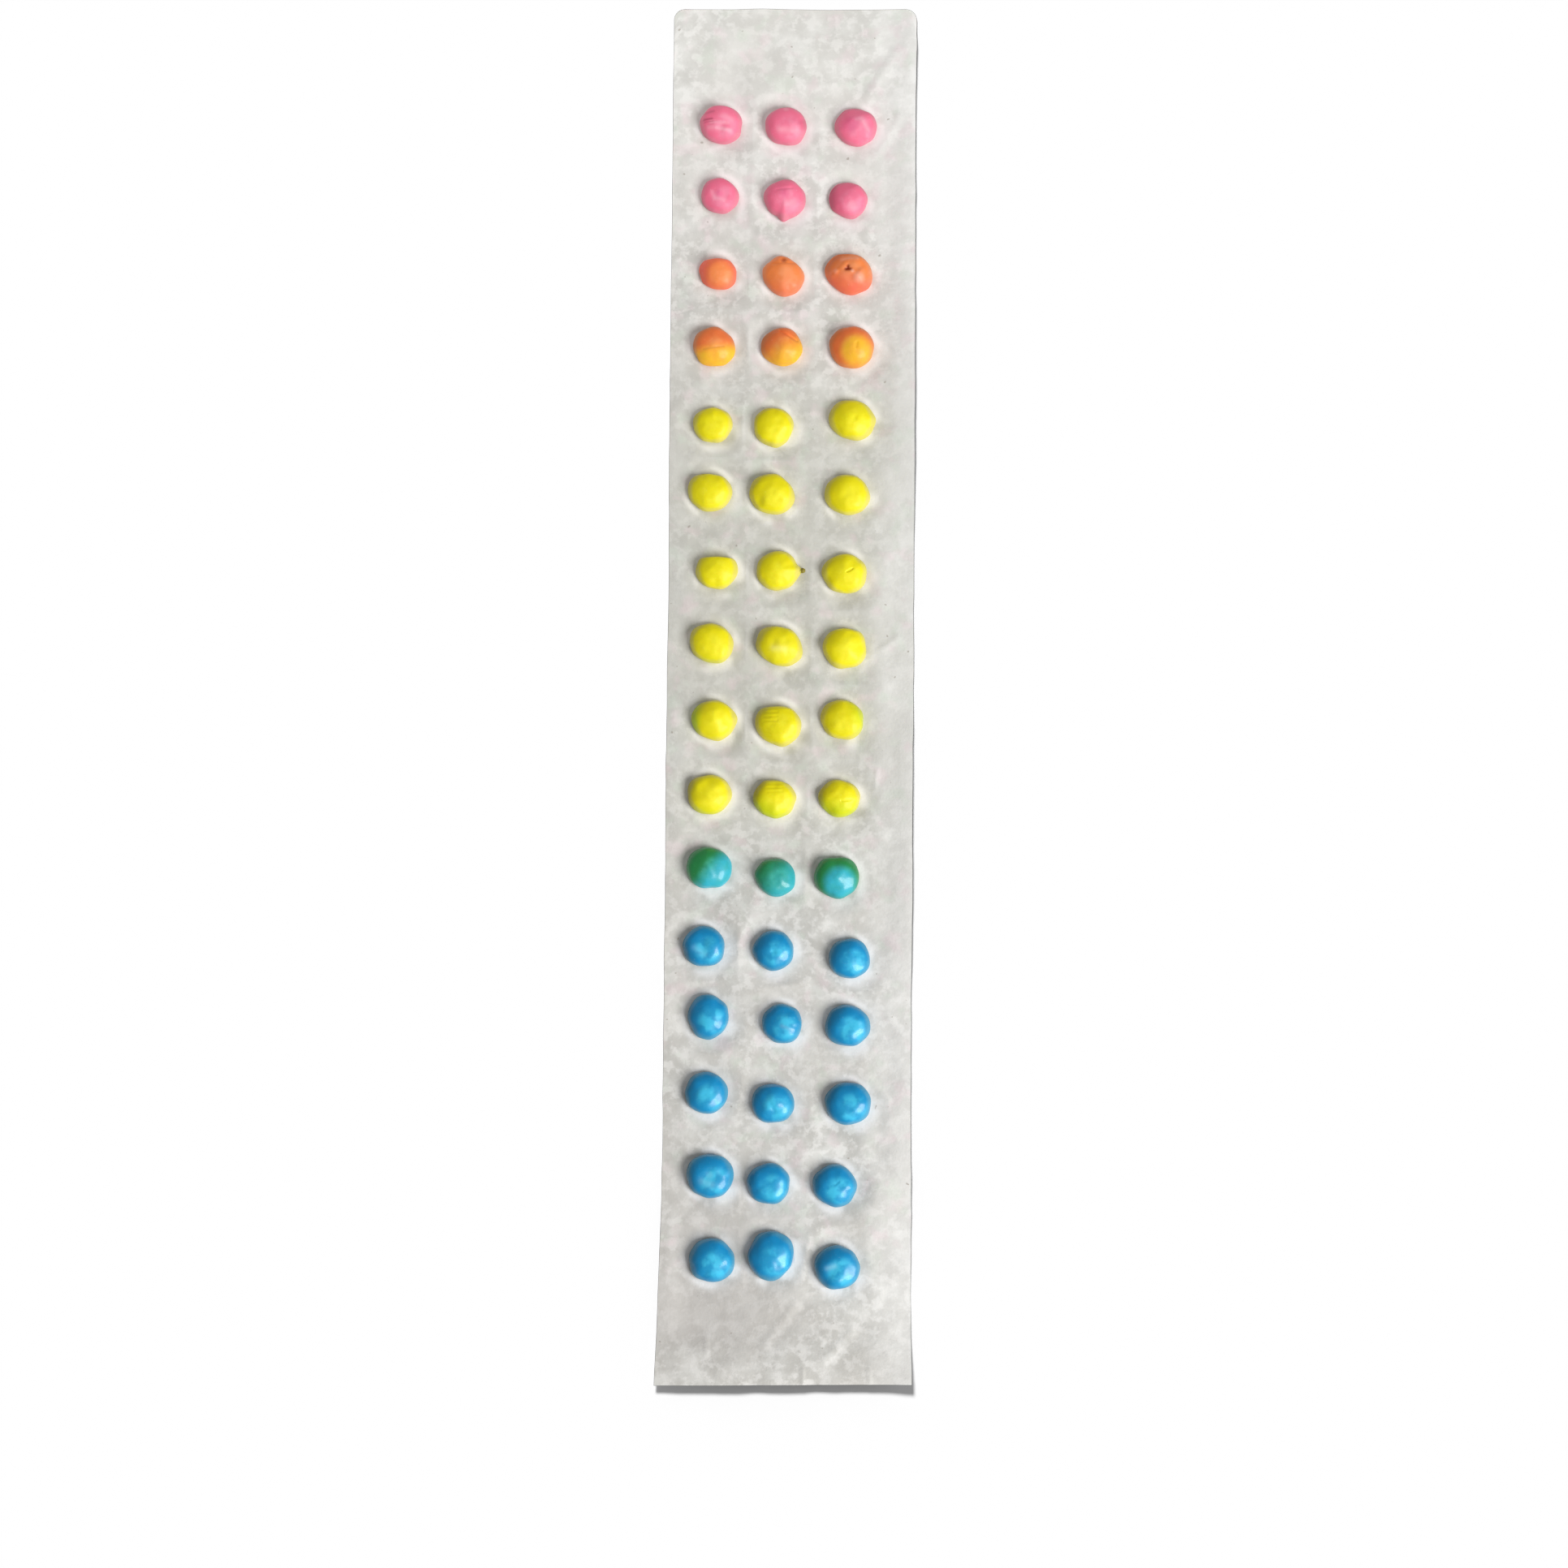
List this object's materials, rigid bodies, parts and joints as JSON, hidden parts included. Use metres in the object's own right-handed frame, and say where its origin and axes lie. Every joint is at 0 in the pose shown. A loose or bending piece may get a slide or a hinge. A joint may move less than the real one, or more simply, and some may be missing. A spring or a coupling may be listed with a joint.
{
  "type": "candy button strip",
  "caption": "Flexible white paper tape carrying rows of round hard sugar drops in pink, orange, yellow, green and blue; the tape bends and each drop peels off.",
  "frame": {"origin": "middle of the paper's underside", "axes": "+Z out of the paper on the candy side, +Y along the strip towards the pink head end, +X to the right across the strip"},
  "size_m": [0.0508, 0.2858, 0.0038],
  "materials": {
    "paper": "matte",
    "pink_candy": "satin",
    "orange_candy": "satin",
    "amber_candy": "satin",
    "yellow_candy": "satin",
    "green_candy": "gloss",
    "blue_candy": "gloss"
  },
  "bodies": {
    "paper_band_01": {"paper_band_01": "paper"},
    "paper_band_02": {"paper_band_02": "paper"},
    "paper_band_03": {"paper_band_03": "paper"},
    "paper_band_04": {"paper_band_04": "paper"},
    "paper_band_05": {"paper_band_05": "paper"},
    "paper_band_06": {"paper_band_06": "paper"},
    "paper_band_07": {"paper_band_07": "paper"},
    "paper_band_08": {"paper_band_08": "paper"},
    "paper_band_09": {"paper_band_09": "paper"},
    "paper_band_10": {"paper_band_10": "paper"},
    "paper_band_11": {"paper_band_11": "paper"},
    "paper_band_12": {"paper_band_12": "paper"},
    "button_r01_left": {"button_r01_left": "pink_candy"},
    "button_r01_centre": {"button_r01_centre": "pink_candy"},
    "button_r01_right": {"button_r01_right": "pink_candy"},
    "button_r02_left": {"button_r02_left": "pink_candy"},
    "button_r02_centre": {"button_r02_centre": "pink_candy"},
    "button_r02_right": {"button_r02_right": "pink_candy"},
    "button_r03_left": {"button_r03_left": "orange_candy"},
    "button_r03_centre": {"button_r03_centre": "orange_candy"},
    "button_r03_right": {"button_r03_right": "orange_candy"},
    "button_r04_left": {"button_r04_left": "amber_candy"},
    "button_r04_centre": {"button_r04_centre": "amber_candy"},
    "button_r04_right": {"button_r04_right": "amber_candy"},
    "button_r05_left": {"button_r05_left": "yellow_candy"},
    "button_r05_centre": {"button_r05_centre": "yellow_candy"},
    "button_r05_right": {"button_r05_right": "yellow_candy"},
    "button_r06_left": {"button_r06_left": "yellow_candy"},
    "button_r06_centre": {"button_r06_centre": "yellow_candy"},
    "button_r06_right": {"button_r06_right": "yellow_candy"},
    "button_r07_left": {"button_r07_left": "yellow_candy"},
    "button_r07_centre": {"button_r07_centre": "yellow_candy"},
    "button_r07_right": {"button_r07_right": "yellow_candy"},
    "button_r08_left": {"button_r08_left": "yellow_candy"},
    "button_r08_centre": {"button_r08_centre": "yellow_candy"},
    "button_r08_right": {"button_r08_right": "yellow_candy"},
    "button_r09_left": {"button_r09_left": "yellow_candy"},
    "button_r09_centre": {"button_r09_centre": "yellow_candy"},
    "button_r09_right": {"button_r09_right": "yellow_candy"},
    "button_r10_left": {"button_r10_left": "yellow_candy"},
    "button_r10_centre": {"button_r10_centre": "yellow_candy"},
    "button_r10_right": {"button_r10_right": "yellow_candy"},
    "button_r11_left": {"button_r11_left": "green_candy"},
    "button_r11_centre": {"button_r11_centre": "green_candy"},
    "button_r11_right": {"button_r11_right": "green_candy"},
    "button_r12_left": {"button_r12_left": "blue_candy"},
    "button_r12_centre": {"button_r12_centre": "blue_candy"},
    "button_r12_right": {"button_r12_right": "blue_candy"},
    "button_r13_left": {"button_r13_left": "blue_candy"},
    "button_r13_centre": {"button_r13_centre": "blue_candy"},
    "button_r13_right": {"button_r13_right": "blue_candy"},
    "button_r14_left": {"button_r14_left": "blue_candy"},
    "button_r14_centre": {"button_r14_centre": "blue_candy"},
    "button_r14_right": {"button_r14_right": "blue_candy"},
    "button_r15_left": {"button_r15_left": "blue_candy"},
    "button_r15_centre": {"button_r15_centre": "blue_candy"},
    "button_r15_right": {"button_r15_right": "blue_candy"},
    "button_r16_left": {"button_r16_left": "blue_candy"},
    "button_r16_centre": {"button_r16_centre": "blue_candy"},
    "button_r16_right": {"button_r16_right": "blue_candy"}
  },
  "joints": [
    {"name": "bend_rows_01_02", "type": "hinge", "parent": "paper_band_02", "child": "paper_band_01", "pos_m": [0, 0.11025, 0.00006], "axis": [-1, 0, 0], "range_deg": [-18, 18], "stiffness_Nm_per_rad": 0.00138},
    {"name": "bend_rows_02_03", "type": "hinge", "parent": "paper_band_03", "child": "paper_band_02", "pos_m": [0, 0.0946, 0.00006], "axis": [-1, 0, 0], "range_deg": [-18, 18], "stiffness_Nm_per_rad": 0.00138},
    {"name": "bend_rows_03_04", "type": "hinge", "parent": "paper_band_04", "child": "paper_band_03", "pos_m": [0, 0.07895, 0.00006], "axis": [-1, 0, 0], "range_deg": [-18, 18], "stiffness_Nm_per_rad": 0.00138},
    {"name": "bend_rows_04_05", "type": "hinge", "parent": "paper_band_05", "child": "paper_band_04", "pos_m": [0, 0.0633, 0.00006], "axis": [-1, 0, 0], "range_deg": [-27, 27], "stiffness_Nm_per_rad": 0.00092},
    {"name": "bend_rows_06_07", "type": "hinge", "parent": "paper_band_06", "child": "paper_band_05", "pos_m": [0, 0.032, 0.00006], "axis": [-1, 0, 0], "range_deg": [-36, 36], "stiffness_Nm_per_rad": 0.00069},
    {"name": "bend_rows_08_09", "type": "hinge", "parent": "paper_band_06", "child": "paper_band_07", "pos_m": [0, 0.0007, 0.00006], "axis": [1, 0, 0], "range_deg": [-36, 36], "stiffness_Nm_per_rad": 0.00069},
    {"name": "bend_rows_10_11", "type": "hinge", "parent": "paper_band_07", "child": "paper_band_08", "pos_m": [0, -0.0306, 0.00006], "axis": [1, 0, 0], "range_deg": [-36, 36], "stiffness_Nm_per_rad": 0.00069},
    {"name": "bend_rows_12_13", "type": "hinge", "parent": "paper_band_08", "child": "paper_band_09", "pos_m": [0, -0.0619, 0.00006], "axis": [1, 0, 0], "range_deg": [-27, 27], "stiffness_Nm_per_rad": 0.00092},
    {"name": "bend_rows_13_14", "type": "hinge", "parent": "paper_band_09", "child": "paper_band_10", "pos_m": [0, -0.07755, 0.00006], "axis": [1, 0, 0], "range_deg": [-18, 18], "stiffness_Nm_per_rad": 0.00138},
    {"name": "bend_rows_14_15", "type": "hinge", "parent": "paper_band_10", "child": "paper_band_11", "pos_m": [0, -0.0932, 0.00006], "axis": [1, 0, 0], "range_deg": [-18, 18], "stiffness_Nm_per_rad": 0.00138},
    {"name": "bend_rows_15_16", "type": "hinge", "parent": "paper_band_11", "child": "paper_band_12", "pos_m": [0, -0.10885, 0.00006], "axis": [1, 0, 0], "range_deg": [-18, 18], "stiffness_Nm_per_rad": 0.00138},
    {"name": "peel_r01_left", "type": "slide", "parent": "paper_band_01", "child": "button_r01_left", "axis": [0, 0, 1], "range_m": [0, 0.012]},
    {"name": "peel_r01_centre", "type": "slide", "parent": "paper_band_01", "child": "button_r01_centre", "axis": [0, 0, 1], "range_m": [0, 0.012]},
    {"name": "peel_r01_right", "type": "slide", "parent": "paper_band_01", "child": "button_r01_right", "axis": [0, 0, 1], "range_m": [0, 0.012]},
    {"name": "peel_r02_left", "type": "slide", "parent": "paper_band_02", "child": "button_r02_left", "axis": [0, 0, 1], "range_m": [0, 0.012]},
    {"name": "peel_r02_centre", "type": "slide", "parent": "paper_band_02", "child": "button_r02_centre", "axis": [0, 0, 1], "range_m": [0, 0.012]},
    {"name": "peel_r02_right", "type": "slide", "parent": "paper_band_02", "child": "button_r02_right", "axis": [0, 0, 1], "range_m": [0, 0.012]},
    {"name": "peel_r03_left", "type": "slide", "parent": "paper_band_03", "child": "button_r03_left", "axis": [0, 0, 1], "range_m": [0, 0.012]},
    {"name": "peel_r03_centre", "type": "slide", "parent": "paper_band_03", "child": "button_r03_centre", "axis": [0, 0, 1], "range_m": [0, 0.012]},
    {"name": "peel_r03_right", "type": "slide", "parent": "paper_band_03", "child": "button_r03_right", "axis": [0, 0, 1], "range_m": [0, 0.012]},
    {"name": "peel_r04_left", "type": "slide", "parent": "paper_band_04", "child": "button_r04_left", "axis": [0, 0, 1], "range_m": [0, 0.012]},
    {"name": "peel_r04_centre", "type": "slide", "parent": "paper_band_04", "child": "button_r04_centre", "axis": [0, 0, 1], "range_m": [0, 0.012]},
    {"name": "peel_r04_right", "type": "slide", "parent": "paper_band_04", "child": "button_r04_right", "axis": [0, 0, 1], "range_m": [0, 0.012]},
    {"name": "peel_r05_left", "type": "slide", "parent": "paper_band_05", "child": "button_r05_left", "axis": [0, 0, 1], "range_m": [0, 0.012]},
    {"name": "peel_r05_centre", "type": "slide", "parent": "paper_band_05", "child": "button_r05_centre", "axis": [0, 0, 1], "range_m": [0, 0.012]},
    {"name": "peel_r05_right", "type": "slide", "parent": "paper_band_05", "child": "button_r05_right", "axis": [0, 0, 1], "range_m": [0, 0.012]},
    {"name": "peel_r06_left", "type": "slide", "parent": "paper_band_05", "child": "button_r06_left", "axis": [0, 0, 1], "range_m": [0, 0.012]},
    {"name": "peel_r06_centre", "type": "slide", "parent": "paper_band_05", "child": "button_r06_centre", "axis": [0, 0, 1], "range_m": [0, 0.012]},
    {"name": "peel_r06_right", "type": "slide", "parent": "paper_band_05", "child": "button_r06_right", "axis": [0, 0, 1], "range_m": [0, 0.012]},
    {"name": "peel_r07_left", "type": "slide", "parent": "paper_band_06", "child": "button_r07_left", "axis": [0, 0, 1], "range_m": [0, 0.012]},
    {"name": "peel_r07_centre", "type": "slide", "parent": "paper_band_06", "child": "button_r07_centre", "axis": [0, 0, 1], "range_m": [0, 0.012]},
    {"name": "peel_r07_right", "type": "slide", "parent": "paper_band_06", "child": "button_r07_right", "axis": [0, 0, 1], "range_m": [0, 0.012]},
    {"name": "peel_r08_left", "type": "slide", "parent": "paper_band_06", "child": "button_r08_left", "axis": [0, 0, 1], "range_m": [0, 0.012]},
    {"name": "peel_r08_centre", "type": "slide", "parent": "paper_band_06", "child": "button_r08_centre", "axis": [0, 0, 1], "range_m": [0, 0.012]},
    {"name": "peel_r08_right", "type": "slide", "parent": "paper_band_06", "child": "button_r08_right", "axis": [0, 0, 1], "range_m": [0, 0.012]},
    {"name": "peel_r09_left", "type": "slide", "parent": "paper_band_07", "child": "button_r09_left", "axis": [0, 0, 1], "range_m": [0, 0.012]},
    {"name": "peel_r09_centre", "type": "slide", "parent": "paper_band_07", "child": "button_r09_centre", "axis": [0, 0, 1], "range_m": [0, 0.012]},
    {"name": "peel_r09_right", "type": "slide", "parent": "paper_band_07", "child": "button_r09_right", "axis": [0, 0, 1], "range_m": [0, 0.012]},
    {"name": "peel_r10_left", "type": "slide", "parent": "paper_band_07", "child": "button_r10_left", "axis": [0, 0, 1], "range_m": [0, 0.012]},
    {"name": "peel_r10_centre", "type": "slide", "parent": "paper_band_07", "child": "button_r10_centre", "axis": [0, 0, 1], "range_m": [0, 0.012]},
    {"name": "peel_r10_right", "type": "slide", "parent": "paper_band_07", "child": "button_r10_right", "axis": [0, 0, 1], "range_m": [0, 0.012]},
    {"name": "peel_r11_left", "type": "slide", "parent": "paper_band_08", "child": "button_r11_left", "axis": [0, 0, 1], "range_m": [0, 0.012]},
    {"name": "peel_r11_centre", "type": "slide", "parent": "paper_band_08", "child": "button_r11_centre", "axis": [0, 0, 1], "range_m": [0, 0.012]},
    {"name": "peel_r11_right", "type": "slide", "parent": "paper_band_08", "child": "button_r11_right", "axis": [0, 0, 1], "range_m": [0, 0.012]},
    {"name": "peel_r12_left", "type": "slide", "parent": "paper_band_08", "child": "button_r12_left", "axis": [0, 0, 1], "range_m": [0, 0.012]},
    {"name": "peel_r12_centre", "type": "slide", "parent": "paper_band_08", "child": "button_r12_centre", "axis": [0, 0, 1], "range_m": [0, 0.012]},
    {"name": "peel_r12_right", "type": "slide", "parent": "paper_band_08", "child": "button_r12_right", "axis": [0, 0, 1], "range_m": [0, 0.012]},
    {"name": "peel_r13_left", "type": "slide", "parent": "paper_band_09", "child": "button_r13_left", "axis": [0, 0, 1], "range_m": [0, 0.012]},
    {"name": "peel_r13_centre", "type": "slide", "parent": "paper_band_09", "child": "button_r13_centre", "axis": [0, 0, 1], "range_m": [0, 0.012]},
    {"name": "peel_r13_right", "type": "slide", "parent": "paper_band_09", "child": "button_r13_right", "axis": [0, 0, 1], "range_m": [0, 0.012]},
    {"name": "peel_r14_left", "type": "slide", "parent": "paper_band_10", "child": "button_r14_left", "axis": [0, 0, 1], "range_m": [0, 0.012]},
    {"name": "peel_r14_centre", "type": "slide", "parent": "paper_band_10", "child": "button_r14_centre", "axis": [0, 0, 1], "range_m": [0, 0.012]},
    {"name": "peel_r14_right", "type": "slide", "parent": "paper_band_10", "child": "button_r14_right", "axis": [0, 0, 1], "range_m": [0, 0.012]},
    {"name": "peel_r15_left", "type": "slide", "parent": "paper_band_11", "child": "button_r15_left", "axis": [0, 0, 1], "range_m": [0, 0.012]},
    {"name": "peel_r15_centre", "type": "slide", "parent": "paper_band_11", "child": "button_r15_centre", "axis": [0, 0, 1], "range_m": [0, 0.012]},
    {"name": "peel_r15_right", "type": "slide", "parent": "paper_band_11", "child": "button_r15_right", "axis": [0, 0, 1], "range_m": [0, 0.012]},
    {"name": "peel_r16_left", "type": "slide", "parent": "paper_band_12", "child": "button_r16_left", "axis": [0, 0, 1], "range_m": [0, 0.012]},
    {"name": "peel_r16_centre", "type": "slide", "parent": "paper_band_12", "child": "button_r16_centre", "axis": [0, 0, 1], "range_m": [0, 0.012]},
    {"name": "peel_r16_right", "type": "slide", "parent": "paper_band_12", "child": "button_r16_right", "axis": [0, 0, 1], "range_m": [0, 0.012]}
  ]
}
